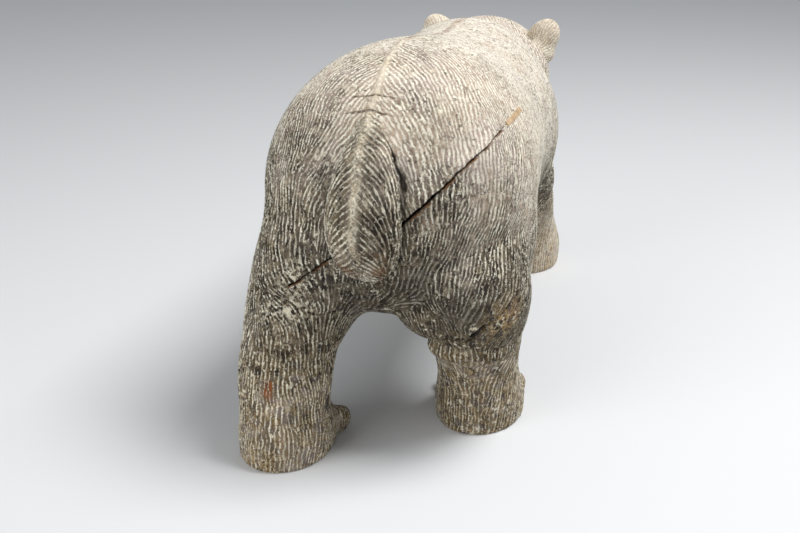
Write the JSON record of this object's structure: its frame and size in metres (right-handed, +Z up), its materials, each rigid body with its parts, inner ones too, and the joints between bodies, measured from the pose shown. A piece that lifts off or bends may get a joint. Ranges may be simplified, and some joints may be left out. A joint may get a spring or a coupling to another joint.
{
  "type": "carved bear figurine",
  "caption": "Carved wooden bear walking on all fours, built from glued and dowelled blocks; a free-standing ornament.",
  "frame": {"origin": "centre of the bounding box's underside, in the plane of the four soles", "axes": "+Z up, the bear faces -Y, its left side is +X"},
  "size_m": [0.2242, 0.6124, 0.3135],
  "materials": {
    "carved_wood": "weathered, rubbed with pale lime wash, dark in the cuts",
    "dowel_wood": "plain turned hardwood",
    "filler_wood": "unpainted, orange tan",
    "eye_bead": "stained near black, polished"
  },
  "bodies": {
    "root": {"body_block": "carved_wood", "head_block": "carved_wood", "tail": "carved_wood", "hind_leg_left": "carved_wood", "hind_leg_right": "carved_wood", "foreleg_left": "carved_wood", "foreleg_right": "carved_wood", "ear_left": "carved_wood", "ear_right": "carved_wood", "eye_left": "eye_bead", "eye_right": "eye_bead", "filler_strip": "filler_wood", "leg_peg": "dowel_wood", "leg_dowels": "dowel_wood", "neck_dowels": "dowel_wood", "ear_dowels": "dowel_wood", "tail_dowels": "dowel_wood"}
  },
  "joints": []
}
